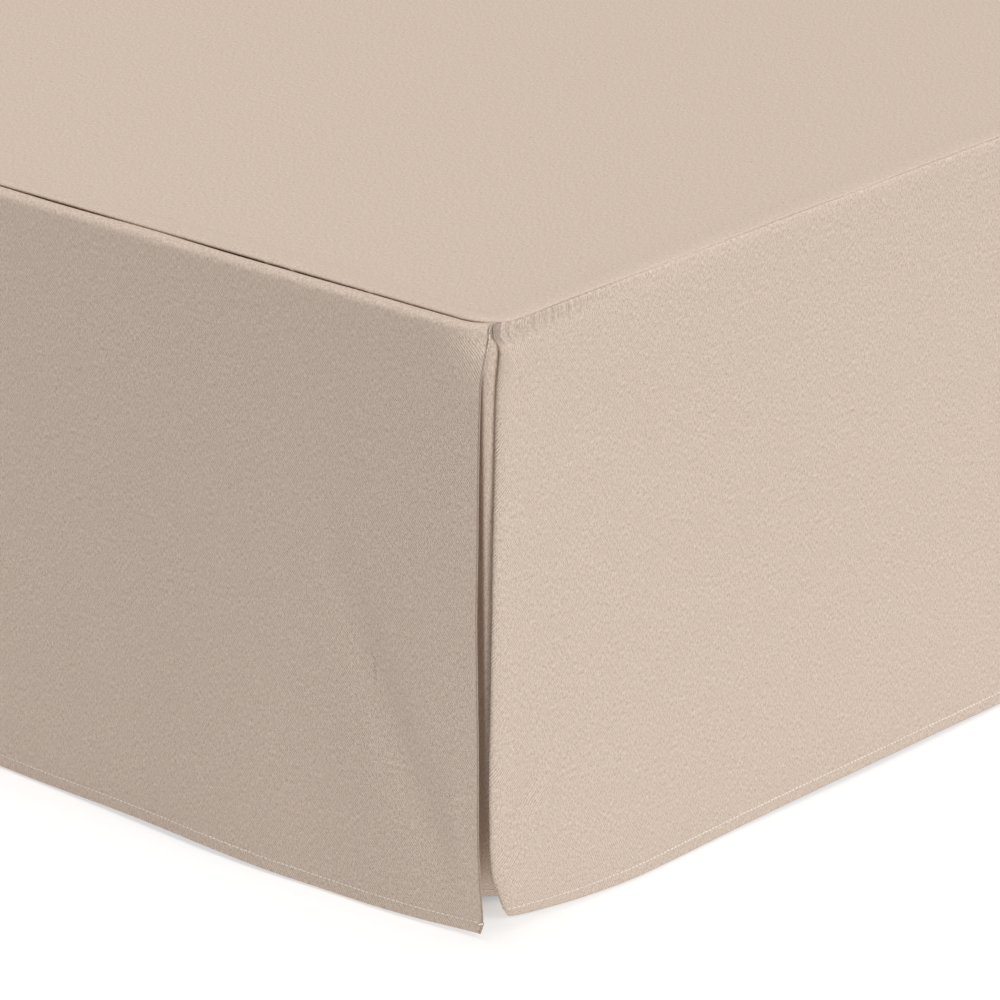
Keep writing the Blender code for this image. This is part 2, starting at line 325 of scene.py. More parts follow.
# Skirts: four straight pieces of the twill with a narrow double hem, sewn to the top panel along the
# bed's edge. Each end turns back round a pressed fold into the open pleat of a corner.
BED_WIDTH = 1.350
BED_LENGTH = 1.900
BED_HEIGHT = 0.350
SEAM_GAP = 0.7 * MM
SEAM_INSET_SIDE = 3.2 * MM
SEAM_INSET_END = 10.5 * MM
SEAM_RADIUS = 22 * MM
SEAM_DEPTH_END = 0.95 * MM
SEAM_DEPTH_SIDE = 1.6 * MM
TURN_RADIUS = 3.0 * MM
TURN_SOFTER = 0.5 * MM
TURN_SHARE = 0.6
RETURN_DEPTH = 80 * MM
SKIRT_TOP = 343 * MM
HEM_HEIGHT = 2.0 * MM
FLARE = 4.0 * MM
BLEND_LENGTH = 300 * MM
SETTLE_LENGTH = 60 * MM
LOOSE_FROM = 60 * MM
CREASED_FROM = 12 * MM
RETURN_ROW = 0.3 * MM
FADE_POWER = 1.2
WAVE_POWER = 1.3
RETURN_CLOSE = 20 * MM
HEM_BAND = 9.4 * MM
HEM_THICKNESS = 1.3 * MM
STITCH_HEIGHT = 8.8 * MM
PUCKER_HEIGHT = 0.22 * MM
PUCKER_REACH = 3.5 * MM
PUCKER_CYCLES = 210
STITCH_DENT = 0.18 * MM
STITCH_DENT_REACH = 0.8 * MM
CREASE_FADE = 0.3
CREASE_REACH = 3

# The fold by height: distance along from the corner, drawn in from the face, reach of that, and the
# length and depth of the soft roll in front of the fold. The wrapping fold is pressed flat, with no
# roll. Millimetres.
Fold = namedtuple("Fold", "height along inward reach roll sink")
Pleat = namedtuple("Pleat", "corner_turn fold_radius folds")
WRAPPING = Pleat(math.radians(52), 0.1 * MM, [
    Fold(2, 13.5, 8.6, 55, 0, 0), Fold(9, 10.8, 8.0, 54, 0, 0), Fold(20, 10.3, 7.0, 52, 0, 0),
    Fold(36, 10.4, 5.6, 50, 0, 0), Fold(60, 9.5, 3.6, 45, 0, 0), Fold(96, 7.9, 2.2, 40, 0, 0),
    Fold(143, 6.8, 0.9, 32, 0, 0), Fold(189, 6.5, 0.3, 26, 0, 0), Fold(229, 5.3, 0.2, 22, 0, 0),
    Fold(268, 4.4, 0.2, 18, 0, 0), Fold(302, 3.2, 0.2, 15, 0, 0), Fold(322, 3.3, 1.6, 10, 0, 0),
    Fold(334, 3.1, 4.6, 10, 0, 0), Fold(343, 4.4, 9.0, 10, 0, 0),
])
SHORT = Pleat(math.radians(38), 0.95 * MM, [
    Fold(2, 36.6, 14.5, 49, 10, 2.0), Fold(12, 27.9, 11.5, 47, 10, 2.0), Fold(22, 22.4, 9.3, 45, 10, 2.3),
    Fold(32, 16.9, 7.6, 44, 10, 2.5), Fold(52, 12.4, 5.2, 41, 9, 2.5), Fold(94, 8.8, 1.9, 35, 9, 2.8),
    Fold(141, 8.7, 0.4, 29, 9, 2.8), Fold(187, 9.7, 0.0, 25, 9, 2.8), Fold(226, 10.5, -0.3, 22, 9, 2.8),
    Fold(265, 12.1, -0.2, 18, 8, 2.7), Fold(298, 13.2, -0.1, 16, 7, 2.6), Fold(320, 14.1, 0.2, 12, 5, 1.9),
    Fold(334, 15.5, 0.8, 9, 4, 1.2), Fold(338, 15.6, 1.9, 8, 3, 0.8), Fold(343, 13.1, 3.7, 7, 2, 0.4),
])

# Long waves: cycles along the face, height in millimetres at the hem, phase in turns
Wave = namedtuple("Wave", "cycles swing phase")
END_WAVES = [Wave(2.3, 1.5, 0.45), Wave(4.1, 1.3, 0.10), Wave(7.4, 0.7, 0.75)]
SIDE_WAVES = [Wave(2.6, 1.2, 0.20), Wave(5.3, 1.4, 0.62), Wave(9.1, 0.6, 0.35)]
HEM_WAVE = Wave(5.5, 0.9, 0.3)

# Soft creases, from one (along, height) to another. Positive rises are ridges. Millimetres.
Crease = namedtuple("Crease", "start end width rise")
END_CREASES = [
    Crease((101, 186), (36, 49), 14, -2.2),
    Crease((26, 90), (22, 20), 7, 0.5),
    Crease((300, 120), (290, 20), 22, 0.5),
    Crease((520, 150), (545, 20), 20, 0.6),
    Crease((905, 170), (880, 15), 24, -0.6),
    Crease((1230, 130), (1275, 30), 14, 0.7),
]
SIDE_CREASES = [
    Crease((19, 336), (50, 289), 7, 2.3),
    Crease((92, 300), (175, 236), 16, -3.6),
    Crease((118, 205), (190, 160), 15, -1.8),
    Crease((24, 335), (24, 303), 2.5, -0.3),
    Crease((33, 333), (35, 295), 3, 0.25),
    Crease((41, 98), (18, 55), 4.5, -2.0),
    Crease((54, 104), (32, 32), 7, 2.3),
    Crease((20, 130), (19, 70), 3, -0.3),
    Crease((96, 120), (70, 40), 16, -0.4),
    Crease((330, 190), (350, 30), 26, 0.6),
    Crease((720, 140), (700, 15), 22, -0.6),
    Crease((1130, 160), (1160, 20), 25, 0.7),
    Crease((1790, 120), (1840, 30), 13, 0.7),
]
RIPPLES = (Wave(17, 0.06, 0.0), Wave(83, 0.02, 0.0))


def smooth_step(value):
    value = min(1.0, max(0.0, value))
    return value * value * (3 - 2 * value)


def slope_at(table, row, column):
    """The slope of a column at one row of a table, from the rows beside it."""
    before, after = table[max(0, row - 1)], table[min(len(table) - 1, row + 1)]
    return (after[column] - before[column]) / (after[0] - before[0])


def fold_at(table, height):
    """The fold's other five figures at a height, in metres, on a smooth curve through the rows."""
    level = min(table[-1].height, max(table[0].height, height / MM))
    row = max(k for k in range(len(table) - 1) if table[k].height <= level)
    low, high = table[row], table[row + 1]
    span = high.height - low.height
    t = (level - low.height) / span
    values = []
    for column in range(1, len(low)):
        start, end = low[column], high[column]
        rise, fall = span * slope_at(table, row, column), span * slope_at(table, row + 1, column)
        values.append((
            start * (1 + 2 * t) * (1 - t) ** 2 + rise * t * (1 - t) ** 2
            + end * t * t * (3 - 2 * t) + fall * t * t * (t - 1)
        ) * MM)
    return values


def wave_at(waves, share):
    return sum(w.swing * MM * math.sin(math.tau * (w.cycles * share + w.phase)) for w in waves)


def crease_at(creases, along, height):
    """How far the creases lift the cloth at a point. Each one fades out at both its ends."""
    lift = 0.0
    for c in creases:
        start, end = Vector(c.start) * MM, Vector(c.end) * MM
        run = end - start
        offset = Vector((along, height)) - start
        share = offset.dot(run) / run.length_squared
        if not -CREASE_FADE < share < 1 + CREASE_FADE:
            continue
        aside = (offset - run * share).length / (c.width * MM)
        if aside > CREASE_REACH:
            continue
        ends = smooth_step((share + CREASE_FADE) / (2 * CREASE_FADE))
        ends *= smooth_step((1 + CREASE_FADE - share) / (2 * CREASE_FADE))
        lift += c.rise * MM * ends * math.exp(-aside * aside)
    return lift


def hem_pucker(along, height):
    """The little swells that the hem's stitches draw into the cloth above and below them."""
    near = math.exp(-(((height - STITCH_HEIGHT) / PUCKER_REACH) ** 2))
    uneven = noise.noise(Vector((along * PUCKER_CYCLES, 3.7, 0.0)))
    line = math.exp(-(((height - STITCH_HEIGHT) / STITCH_DENT_REACH) ** 2))
    return near * uneven * PUCKER_HEIGHT - line * STITCH_DENT


class Skirt:
    """One skirt in its own frame: distance along the face from its first corner, in from it, and height."""

    def __init__(self, length, seam_inset, next_inset, seam_depth, near_pleat, far_pleat, waves, creases):
        self.length = length
        self.seam_depth = seam_depth
        self.soft_edge = seam_depth == SEAM_DEPTH_END
        self.seam_centre = (next_inset + SEAM_RADIUS, seam_inset + SEAM_RADIUS)
        self.pleats = (near_pleat, far_pleat)
        self.waves = waves
        self.creases = creases

    def fold_now(self, end, height):
        pleat = self.pleats[end]
        along, *others = fold_at(pleat.folds, height)
        return along + pleat.fold_radius + CLOTH / 2, *others

    def inward(self, along, height, folds):
        """How far in the cloth hangs: flared at the hem, drawn in at each pleat, waved and creased."""
        low = 1 - height / BED_HEIGHT
        total = -FLARE * low
        for end, (centre, drawn, reach, _, _) in enumerate(folds):
            away = along if end == 0 else self.length - along
            away = max(0.0, away - centre)
            total += (drawn + FLARE * low) * math.exp(-((away / reach) ** FADE_POWER))
        nearest = min(along, self.length - along)
        calm = smooth_step((nearest - RETURN_DEPTH) / RETURN_DEPTH)
        total += calm * low ** WAVE_POWER * wave_at(self.waves, along / self.length)
        loose = smooth_step((SKIRT_TOP - height) / LOOSE_FROM)
        for ripple in RIPPLES:
            spot = Vector((along * ripple.cycles, height * ripple.cycles * 0.45, self.length))
            total -= loose * ripple.swing * MM * noise.noise(spot)
        total -= crease_at(self.creases, along, height) * smooth_step((SKIRT_TOP - height) / CREASED_FROM)
        return total - hem_pucker(along, height)

    def point(self, end, away, turn, height):
        """A point on the cloth's middle surface. turn is 0 where the roll starts on the front, 90 on the
        fold's edge and 180 on the return behind it."""
        folds = [self.fold_now(0, height), self.fold_now(1, height)]
        centre, _, _, roll, sink = folds[end]
        turned = math.radians(turn)
        radius = self.pleats[end].fold_radius
        if turn > 90:
            start, back = centre, -radius * math.sin(turned)
            depth = sink * math.exp(-away / RETURN_CLOSE) + radius * (1 - math.cos(turned))
        else:
            start, back = centre + roll, -(roll + radius) * math.sin(turned)
            depth = (sink + radius) * (1 - math.cos(turned))
        away_now = away + start * max(0.0, 1 - away / BLEND_LENGTH) + back
        along = away_now if end == 0 else self.length - away_now
        depth += self.inward(along, height, folds) + CLOTH / 2
        return Vector((along, depth, height))

    def hung_point(self, end, away, turn, height):
        """The same point with the hem's slow rise and fall, which fades out above it."""
        p = self.point(end, away, turn, height)
        turns = HEM_WAVE.cycles * p.x / self.length + HEM_WAVE.phase
        low = max(0.0, 1 - (height - HEM_HEIGHT) / (3 * HEM_BAND))
        p.z += low * (HEM_WAVE.swing * MM * math.sin(math.tau * turns))
        return p

    def seam_point(self, end, distance):
        """A point on the seam, a distance from where the two skirts meet, as (along, inward)."""
        turn = self.pleats[end].corner_turn
        beyond = max(0.0, distance - turn * SEAM_RADIUS)
        angle = max(0.0, turn - distance / SEAM_RADIUS)
        radius = SEAM_RADIUS + SEAM_GAP
        along = self.seam_centre[0] - radius * math.sin(angle) + beyond
        return along, self.seam_centre[1] - radius * math.cos(angle)

    def top_points(self, end, away, turn):
        """The rows that turn over the bed's edge, lie flat and dive into the seam's groove."""
        below = self.point(end, away, turn, SKIRT_TOP)
        pleat = self.pleats[end]
        centre = self.fold_now(end, SKIRT_TOP)[0]
        along = below.x if end == 0 else self.length - below.x
        first = pleat.fold_radius + CLOTH / 2 + SEAM_GAP / 2
        settle = SEAM_RADIUS * pleat.corner_turn - self.seam_centre[0] + centre - first
        past = along - centre
        distance = past + first + settle * smooth_step(max(0.0, past) / SETTLE_LENGTH)
        if turn > 90:
            distance = first - pleat.fold_radius * math.sin(math.radians(turn))
        seam_along, seam_in = self.seam_point(end, distance)
        level = BED_HEIGHT - CLOTH / 2
        seam = Vector((seam_along if end == 0 else self.length - seam_along, seam_in, level))
        flat = Vector((seam.x - below.x, seam.y - below.y, 0))
        softer = TURN_SOFTER * smooth_step((along - SOFTER_FROM) / SOFTER_OVER) if self.soft_edge else 0.0
        radius = min(TURN_RADIUS + softer, TURN_SHARE * flat.length)
        ahead = flat.normalized()
        rows = [below + Vector((0, 0, level - radius - SKIRT_TOP))]
        for step in TURN_STEPS:
            angle = math.radians(step)
            rows.append(below + ahead * radius * (1 - math.cos(angle))
                        + Vector((0, 0, level - radius * (1 - math.sin(angle)) - SKIRT_TOP)))
        uneven = 1 + GROOVE_UNEVEN * noise.noise(Vector((seam.x * GROOVE_CYCLES, 8.2, 0)))
        dip = self.seam_depth * min(1.0, flat.length / GROOVE_ROOM) * uneven
        rest = max(0.0, flat.length - radius)
        for back, depth in GROOVE_ROWS:
            back = min(back * MM, rest * GROOVE_SHARE)
            rows.append(seam - ahead * back - Vector((0, 0, dip * depth)))
        hidden = [below + Vector((0, 0, RETURN_ROW * (place + 1))) for place in range(len(rows))]
        share = smooth_step((turn - 90) / 90)
        return [row.lerp(behind, share) for row, behind in zip(rows, hidden)]


# The turn over the bed's edge softens away from the corner, on the foot and head skirts only.
TURN_STEPS = (22, 45, 68, 90)
SOFTER_FROM = 25 * MM
SOFTER_OVER = 180 * MM
# The groove's rows: way back from the seam in millimetres, and share of the groove's depth.
GROOVE_ROWS = (
    (4.0, 0.0), (3.0, 0.07), (2.1, 0.24), (1.3, 0.48), (0.7, 0.70), (0.2, 0.88), (-0.4, 1.05), (-1.2, 1.2),
)
GROOVE_UNEVEN = 0.6
GROOVE_CYCLES = 14
GROOVE_ROOM = 6 * MM
GROOVE_SHARE = 0.9
# Rows and columns of the cloth, close where it bends or is seen near by. Segments are (end, step) in mm.
RETURN_WAYS = (80, 68, 56, 44, 32, 22, 14, 8, 4, 1.5)
FOLD_TURNS = (180, 158, 135, 112, 90, 80, 70, 60, 50, 40, 30, 20, 10, 0)
SEEN_FACE = [(4, 0.8), (60, 1.8), (460, 3.6)]
HIDDEN_FACE = [(4, 1), (60, 4), (180, 7)]
FAR_FACE = [(4, 1), (60, 4), (180, 8)]
MIDDLE_STEP = 11 * MM
SEEN_HEIGHTS = [(12, 0.85), (58, 2.3), (318, 4), (341, 2)]
HIDDEN_HEIGHTS = [(4, 1.3), (12, 2), (58, 5), (318, 9), (341, 4)]


def spread(segments):
    """Positions from the first start to the last end, in metres. Each segment is (end, step) in mm."""
    places = [0.0]
    for end, step in segments:
        start = places[-1]
        count = max(1, round((end * MM - start) / (step * MM)))
        places += [start + (end * MM - start) * k / count for k in range(1, count + 1)]
    return places


def evenly(near, far, length, step):
    """Even positions over what two spreads, one from each end of the length, leave between them."""
    count = round((length - near - far) / step)
    return [near + (length - near - far) * k / count for k in range(1, count)]


def skirt_columns(skirt, seen):
    """Columns as (end, away, turn): return, fold, face, far fold and far return."""
    returns = [(away * MM, 180) for away in RETURN_WAYS]
    folds = [(0.0, turn) for turn in FOLD_TURNS]
    face = spread(SEEN_FACE if seen else HIDDEN_FACE)[1:]
    far = spread(FAR_FACE)[1:]
    between = evenly(face[-1], far[-1], skirt.length, MIDDLE_STEP)
    half = skirt.length / 2
    columns = [(0, *c) for c in returns + folds] + [(0, away, 0) for away in face]
    columns += [(0, away, 0) if away <= half else (1, skirt.length - away, 0) for away in between]
    columns += [(1, away, 0) for away in reversed(far)]
    return columns + [(1, *c) for c in reversed(returns + folds)]


def cloth_object(name, lines, place, material, flip, hem_rows=0):
    """A sheet of cloth over a grid of points, thickened to both sides, with metres of cloth as its UVs."""
    rows = len(lines[0])
    verts = [place(p) for line in lines for p in line]
    faces = []
    for column in range(len(lines) - 1):
        for row in range(rows - 1):
            low, high = column * rows + row, (column + 1) * rows + row
            corners = (low, high, high + 1, low + 1)
            faces.append(tuple(reversed(corners)) if flip else corners)
    thing = mesh_object(name, verts, faces, material)
    middle_row = rows // 2
    along = [0.0]
    for before, after in zip(lines, lines[1:]):
        along.append(along[-1] + (after[middle_row] - before[middle_row]).length)
    up_cloth = []
    for line in lines:
        way = [0.0]
        for before, after in zip(line, line[1:]):
            way.append(way[-1] + (after - before).length)
        up_cloth.append(way)
    uvs = thing.data.uv_layers.new(name="metres of cloth").data
    for loop in thing.data.loops:
        column, row = divmod(loop.vertex_index, rows)
        uvs[loop.index].uv = (along[column], up_cloth[column][row])
    solid = thing.modifiers.new("cloth thickness", "SOLIDIFY")
    solid.offset = 0.0
    solid.thickness = CLOTH
    if hem_rows:
        hem = thing.vertex_groups.new(name="hem")
        hem.add([c * rows + r for c in range(len(lines)) for r in range(hem_rows)], 1.0, "REPLACE")
        solid.thickness = HEM_THICKNESS
        solid.vertex_group = "hem"
        solid.thickness_vertex_group = CLOTH / HEM_THICKNESS
    return thing


# Thread: light cotton, for the hems' machine stitches and the tack that closes the top of each pleat.
# Each stitch is a short round length that sinks into the cloth at both its ends.
STITCH_LENGTH = 2.75 * MM
STITCH_PITCH = 3.0 * MM
STITCH_WANDER_MM = 0.07
STITCH_SUNK = 0.1 * MM
STITCHED_TO_TURN = 70
THREAD_RADIUS = 0.40 * MM
THREAD_SIDES = 6
THREAD_COLOUR = (0.93, 0.85, 0.77, 1)
THREAD_ROUGHNESS = 0.8
TACK_FROM = 336.5 * MM
TACK_TURN = 90
# Rings of one stitch: share of its length, radii sunk below the cloth's face, share of the radius.
THREAD_RINGS = ((0.0, 1.0, 0.55), (0.2, 0.25, 1.0), (0.8, 0.25, 1.0), (1.0, 1.0, 0.55))
thread_paint = Paint("cotton thread", THREAD_COLOUR, THREAD_ROUGHNESS)


def thread_object(name, runs):
    """Short lengths of thread. Each run is its first point, last point and the way out of the cloth."""
    verts, faces = [], []
    for first, last, out in runs:
        ahead = (last - first).normalized()
        aside = ahead.cross(out).normalized()
        for share, sunk, size in THREAD_RINGS:
            centre = first.lerp(last, share) - out * THREAD_RADIUS * sunk
            base = len(verts)
            before = base - THREAD_SIDES
            for k in range(THREAD_SIDES):
                angle = math.tau * k / THREAD_SIDES
                way = aside * math.cos(angle) + out * math.sin(angle)
                verts.append(centre + way * THREAD_RADIUS * size)
            if share == 0.0:
                faces.append([base + k for k in range(THREAD_SIDES)])
            else:
                for k in range(THREAD_SIDES):
                    after = (k + 1) % THREAD_SIDES
                    faces.append((before + k, before + after, base + after, base + k))
        faces.append([base + k for k in reversed(range(THREAD_SIDES))])
    return mesh_object(name, verts, faces, thread_paint.material)


def hem_stitches(skirt, place, chance):
    """The row of machine stitches that holds the hem, on the outside of the cloth from fold to fold."""
    line = [
        skirt.hung_point(end, away, turn, STITCH_HEIGHT)
        for end, away, turn in skirt_columns(skirt, False)
        if turn <= STITCHED_TO_TURN
    ]
    runs, due = [], 0.0
    for before, after in zip(line, line[1:]):
        ahead = after - before
        out = Vector((ahead.y, -ahead.x, 0)).normalized()
        face = before + out * (HEM_THICKNESS / 2 - STITCH_SUNK)
        while due < ahead.length:
            wander = Vector((0, 0, chance.uniform(-STITCH_WANDER_MM, STITCH_WANDER_MM) * MM))
            first = face + ahead.normalized() * due + wander
            last = first + ahead.normalized() * STITCH_LENGTH
            runs.append((place(first), place(last), place(out) - place(Vector((0, 0, 0)))))
            due += STITCH_PITCH
        due -= ahead.length
    return runs


def corner_tack(line, place, out):
    """The stitches that close the top of the open pleat, along the pressed fold up to the seam."""
    points = [place(p) for p in line if p.z > TACK_FROM]
    runs = []
    for before, after in zip(points, points[1:]):
        if (after - before).length > THREAD_RADIUS * 2:
            runs.append((before.lerp(after, 0.05), before.lerp(after, 0.95), out))
    return runs


def skirt_lines(skirt, seen):
    """The skirt's grid of points, column by column, and how many of its rows are in the hem."""
    heights = [height + HEM_HEIGHT for height in spread(SEEN_HEIGHTS if seen else HIDDEN_HEIGHTS)]
    lines = []
    for end, away, turn in skirt_columns(skirt, seen):
        line = [skirt.hung_point(end, away, turn, height) for height in heights]
        lines.append(line + skirt.top_points(end, away, turn))
    return lines, sum(1 for height in heights if height < HEM_BAND)


SKIRT_FLAT_END = (1.490, 0.355)
SKIRT_FLAT_SIDE = (2.030, 0.352)
half_x, half_y = BED_WIDTH / 2, BED_LENGTH / 2
# The foot and head skirts' twill has painted shade along the wrapping fold.
fold_shaded_cloth = cloth_paint("cover twill, painted shade at the fold", shaded_fold=True)
gathered_cloth = cloth_paint("cover twill, eased at the seam", gathered=True)
end_skirt = Skirt(
    BED_WIDTH, SEAM_INSET_END, SEAM_INSET_SIDE, SEAM_DEPTH_END,
    WRAPPING, SHORT, END_WAVES, END_CREASES,
)
side_skirt = Skirt(
    BED_LENGTH, SEAM_INSET_SIDE, SEAM_INSET_END, SEAM_DEPTH_SIDE,
    SHORT, WRAPPING, SIDE_WAVES, SIDE_CREASES,
)
for name, skirt, turn, seen, flat in (
    ("skirt_foot", end_skirt, 1, True, SKIRT_FLAT_END),
    ("skirt_head", end_skirt, -1, False, SKIRT_FLAT_END),
    ("skirt_right", side_skirt, 1, True, SKIRT_FLAT_SIDE),
    ("skirt_left", side_skirt, -1, False, SKIRT_FLAT_SIDE),
):
    at_end = skirt is end_skirt

    def placed(p, turn=turn, at_end=at_end):
        if at_end:
            return Vector((turn * (half_x - p.x), turn * (p.y - half_y), p.z))
        return Vector((turn * (half_x - p.y), turn * (p.x - half_y), p.z))

    lines, hem_rows = skirt_lines(skirt, seen)
    paint = fold_shaded_cloth if at_end else gathered_cloth
    cloth = cloth_object(f"{name}_cloth", lines, placed, paint, at_end, hem_rows)
    wrapping_end = 0 if at_end else 1
    tack_column = skirt_columns(skirt, seen).index((wrapping_end, 0.0, TACK_TURN))
    outward = placed(Vector((skirt.length * wrapping_end, 0, 0))).normalized()
    runs = hem_stitches(skirt, placed, random.Random(name))
    runs += corner_tack(lines[tack_column], placed, outward)
    stitches = thread_object(f"{name}_stitches", runs)
    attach(cloth, "root")
    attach(stitches, "root")
    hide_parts(name)


# Underlays: a strip of the same twill behind each open pleat, hung round the bed's corner, its colours
# lightened a little as painted light.
# It is hidden but for the crack of the pleat, and its hem is narrow like the skirts'.
UNDERLAY_INSET = 5.6 * MM
UNDERLAY_HALF_WIDTH = 115 * MM
UNDERLAY_BEND_TOP = 14 * MM
UNDERLAY_BEND_HEM = 142 * MM
UNDERLAY_KICK = 8
UNDERLAY_SHIFT = 1.5 * MM
UNDERLAY_LOW = 3 * MM
UNDERLAY_HEM_ROWS = 5
UNDERLAY_ROWS = [(8, 1), (60, 3), (344.6, 6)]
UNDERLAY_COLUMNS = [(97, 6), (124, 0.8), (230, 5)]
# The strip is creased back behind the wrapping fold, so the crack beside that fold is deep and dark.
DIVE = 8 * MM
DIVE_START_TOP = -1.6 * MM
DIVE_START_HEM = 2.2 * MM
DIVE_WIDTH = 4.2 * MM
DIVE_FULL = 70 * MM
DIVE_BACK = (-16 * MM, -7 * MM)


def underlay_point(across, height, lift=0.0):
    """across runs from minus to plus the half width, from the end face round to the side face."""
    low = max(0.0, 1 - height / SKIRT_TOP)
    bend = UNDERLAY_BEND_TOP + (UNDERLAY_BEND_HEM - UNDERLAY_BEND_TOP) * low ** UNDERLAY_KICK
    half_arc = bend * math.pi / 4
    beyond = max(0.0, abs(across) - half_arc)
    angle = math.pi / 4 + max(-half_arc, min(half_arc, across)) / bend
    centre = UNDERLAY_INSET + bend
    outer = bend + lift
    start = DIVE_START_TOP + (DIVE_START_HEM - DIVE_START_TOP) * low ** 4
    back, back_full = DIVE_BACK
    dive = DIVE * smooth_step((start - across) / DIVE_WIDTH) * math.sqrt(0.5)
    dive *= smooth_step((across - back) / (back_full - back)) * smooth_step(height / DIVE_FULL)
    from_side = centre - outer * math.sin(angle) + (beyond if across < 0 else 0) + dive
    from_end = centre - outer * math.cos(angle) + (beyond if across > 0 else 0) + dive
    return Vector((from_side - UNDERLAY_SHIFT, from_end + UNDERLAY_SHIFT, height))


# Painted light: the underlay's colours are made 6 % lighter than the skirts', to brighten the strip seen in
# the pleat's crack.
lightened_underlay_cloth = cloth_paint("underlay twill, painted lighter", shade=1.06, ribs=0.3)
underlay_heights = [height + UNDERLAY_LOW for height in spread(UNDERLAY_ROWS)]
underlay_lines = []
for along in spread(UNDERLAY_COLUMNS):
    across = along - UNDERLAY_HALF_WIDTH
    underlay_lines.append([underlay_point(across, height) for height in underlay_heights])
for name, sx, sy in (
    ("underlay_foot_right", 1, -1),
    ("underlay_head_right", 1, 1),
    ("underlay_head_left", -1, 1),
    ("underlay_foot_left", -1, -1),
):
    def placed(p, sx=sx, sy=sy):
        return Vector((sx * (half_x - p.x), sy * (half_y - p.y), p.z))

    flip = sx * sy > 0
    cloth = cloth_object(
        f"{name}_cloth", underlay_lines, placed, lightened_underlay_cloth, flip, UNDERLAY_HEM_ROWS,
    )
    runs = []
    height = UNDERLAY_LOW + STITCH_HEIGHT - HEM_HEIGHT
    for number in range(int(2 * UNDERLAY_HALF_WIDTH / STITCH_PITCH) - 2):
        across = STITCH_PITCH * (number + 1) - UNDERLAY_HALF_WIDTH
        first, last = (
            placed(underlay_point(a, height, HEM_THICKNESS / 2)) for a in (across, across + STITCH_LENGTH)
        )
        out = first - placed(underlay_point(across, height))
        runs.append((first, last, out.normalized()))
    stitches = thread_object(f"{name}_hem_stitches", runs)
    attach(cloth, "root")
    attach(stitches, "root")
    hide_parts(name)


# Top panel: one flat piece of the twill over the deck, puffed by the seam allowance along its edge.
# The seam draws a narrow groove, and three small tucks start at it on the foot end.
# The edge is puffed most at the foot and head ends, where it rolls over the seam and hides it.
Tuck = namedtuple("Tuck", "from_side length slant width depth")
TUCKS = [Tuck(145.5, 8, 2.5, 1.2, 0.7), Tuck(163.7, 3.5, 0.5, 1.0, 0.5), Tuck(89, 7, 3, 1.1, 0.4)]
TUCK_END = 1.2
TUCK_FADE = 0.6
# Cloth's way in from the seam, the distance in that it reaches, and its height. Millimetres.
Edge = namedtuple("Edge", "way inset rise")
EDGE_AT_ENDS = [
    Edge(0, 0.9, -0.15), Edge(0.35, 0.2, -0.12), Edge(0.7, -0.12, 0.1), Edge(1.05, -0.02, 0.4),
    Edge(1.4, 0.3, 0.62), Edge(1.8, 0.75, 0.76), Edge(2.4, 1.5, 0.9), Edge(3.6, 3.0, 1.1),
    Edge(5.2, 4.9, 0.95), Edge(8, 7.9, 0.85), Edge(12, 12, 0.6), Edge(18, 18, 0.35), Edge(26, 26, 0.12),
    Edge(38, 38, 0),
]
EDGE_AT_SIDES = [
    Edge(0, 0, -1.5), Edge(0.35, 0.28, -1.1), Edge(0.7, 0.6, -0.7), Edge(1.4, 1.35, -0.2),
    Edge(2.4, 2.4, 0.05), Edge(5.2, 5.2, 0.3), Edge(8, 8, 0.4), Edge(12, 12, 0.35), Edge(18, 18, 0.15),
    Edge(26, 26, 0.05), Edge(38, 38, 0),
]
TOP_WAVES = ((4.5, 0.35), (11, 0.22), (38, 0.05))
WAVES_FROM = 30 * MM
# How far in the seam allowance lies under the panel at the ends, by the distance from the right side.
ALLOWANCE = [
    (0, 9), (38, 11), (120, 17), (190, 18.5), (250, 15), (326, 6), (480, 8), (800, 15), (1350, 12),
]
ALLOWANCE_RISE = 0.75 * MM
ALLOWANCE_OVER = 5 * MM
ALLOWANCE_STEP = 3 * MM
# Columns and rows, as segments of (end, step) in mm: at each edge, on from the seen corner, elsewhere.
PANEL_EDGE = [(2.45, 0.35), (14, 1.2), (40, 2.6)]
PANEL_SEEN = [(80, 3.2), (170, 1.3), (460, 5.5)]
PANEL_PLAIN = [(460, 5.5)]
PANEL_STEP = 26 * MM


def edge_at(rows, way):
    """How far in from the seam the cloth is, and its rise, in metres, after a way in from the seam."""
    level = way / MM
    if level >= rows[-1].way:
        return way, 0.0
    low, high = next(pair for pair in zip(rows, rows[1:]) if level <= pair[1].way)
    share = (level - low.way) / (high.way - low.way)
    inset = low.inset + (high.inset - low.inset) * share
    rise = low.rise + (high.rise - low.rise) * share
    return inset * MM, rise * MM


def allowance_at(x, way):
    """The puff over the turned-in seam allowance, with a small step down along its inner edge."""
    from_right = (half_x - x) / MM
    low, high = next(pair for pair in zip(ALLOWANCE, ALLOWANCE[1:]) if from_right <= pair[1][0])
    reach = low[1] + (high[1] - low[1]) * smooth_step((from_right - low[0]) / (high[0] - low[0]))
    under = smooth_step((reach * MM - way) / ALLOWANCE_STEP + 0.5)
    return ALLOWANCE_RISE * smooth_step(way / ALLOWANCE_OVER) * under


def tuck_at(x, y):
    """The tucks are on the foot end only, measured from the right side and in from the seam."""
    depth = 0.0
    for tuck in TUCKS:
        inward = y + half_y - SEAM_INSET_END
        share = inward / (tuck.length * MM)
        if share > TUCK_END:
            continue
        centre = half_x - tuck.from_side * MM + tuck.slant * MM * share
        aside = (x - centre) / (tuck.width * MM)
        fade = smooth_step((TUCK_END - share) / TUCK_FADE)
        depth += tuck.depth * MM * math.exp(-aside * aside) * fade
    return depth


def edge_to_edge(length, near_segments):
    """Positions across the panel, fine at its edges, and for some way in from the seen corner."""
    near = spread(PANEL_EDGE + near_segments)
    far = spread(PANEL_EDGE)
    between = evenly(near[-1], far[-1], length, PANEL_STEP)
    return near + between + [length - place for place in reversed(far)]


